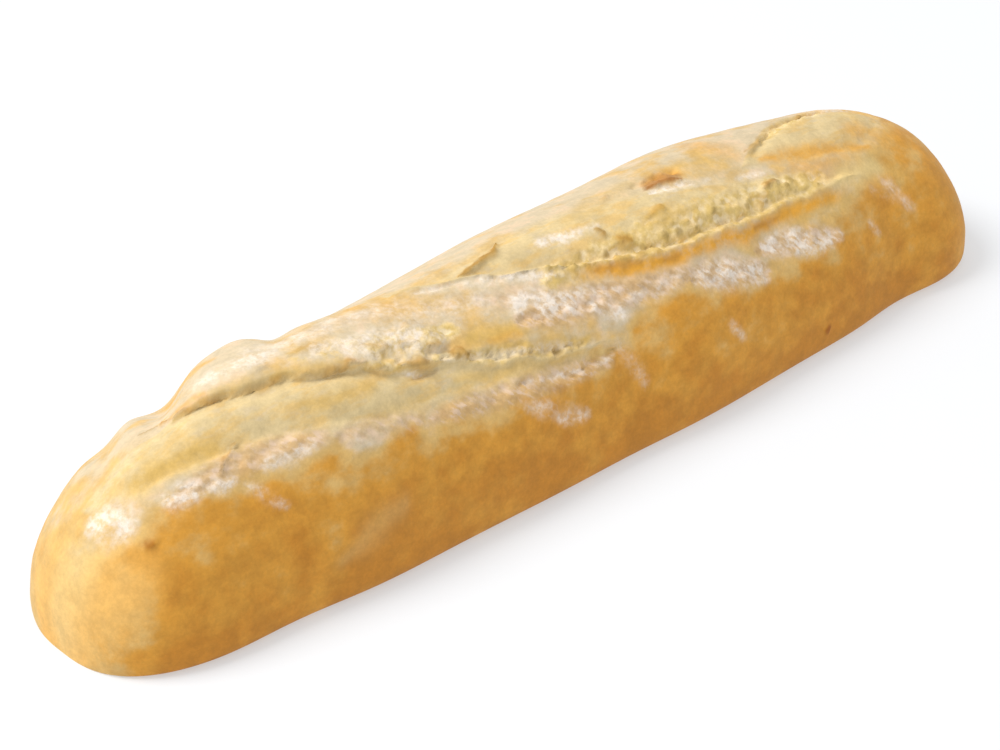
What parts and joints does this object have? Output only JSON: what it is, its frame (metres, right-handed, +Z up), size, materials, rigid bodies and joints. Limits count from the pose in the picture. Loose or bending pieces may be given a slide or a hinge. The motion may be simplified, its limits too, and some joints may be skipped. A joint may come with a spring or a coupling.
{
  "type": "baguette",
  "caption": "Short golden baguette with a flat base, blunt rounded ends, slanting open slashes on top and a dusting of flour.",
  "frame": {"origin": "centre of the loaf's outline on its flat base", "axes": "+X along the loaf, towards the blunter end; +Z up; the slashes run down towards -Y"},
  "size_m": [0.27, 0.0702, 0.0474],
  "materials": {
    "crust": "matt baked crust, golden, with pale crumb in the slashes and patches of white flour"
  },
  "bodies": {
    "root": {"loaf": "crust"}
  },
  "joints": []
}
